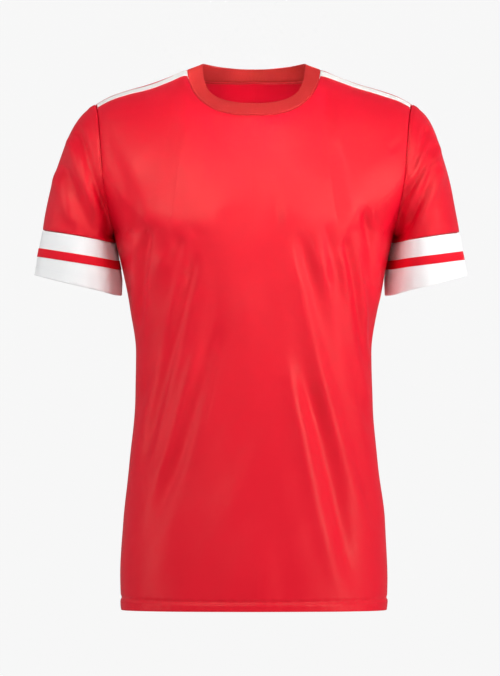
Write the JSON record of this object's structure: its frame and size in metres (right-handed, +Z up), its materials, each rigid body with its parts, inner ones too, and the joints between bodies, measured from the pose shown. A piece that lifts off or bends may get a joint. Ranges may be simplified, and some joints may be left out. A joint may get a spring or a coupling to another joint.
{
  "type": "football jersey",
  "caption": "Short-sleeved crew-neck football jersey in its hollow worn form, red with white cuffs, a red band round each cuff and a white tape along each shoulder.",
  "frame": {"origin": "where the wearer holds the jersey up: the middle of the neck opening, level with the tops of the shoulder seams", "axes": "+Z up along the body, +Y towards the back, -Y is the front, +X towards the wearer's left"},
  "size_m": [0.5817, 0.2627, 0.7416],
  "materials": {
    "red_interlock": "smooth polyester interlock with a satin sheen",
    "red_rib": "fine ribbed knit, matte",
    "white_interlock": "smooth polyester interlock",
    "white_tape": "flat woven tape",
    "red_band": "smooth polyester interlock"
  },
  "bodies": {
    "root": {"front": "red_interlock", "back": "red_interlock", "sleeve_left": "red_interlock", "sleeve_right": "red_interlock", "cuff_left": "white_interlock", "cuff_right": "white_interlock", "stripe_left": "red_band", "stripe_right": "red_band", "collar": "red_rib", "shoulder_tape_left": "white_tape", "shoulder_tape_right": "white_tape"}
  },
  "joints": []
}
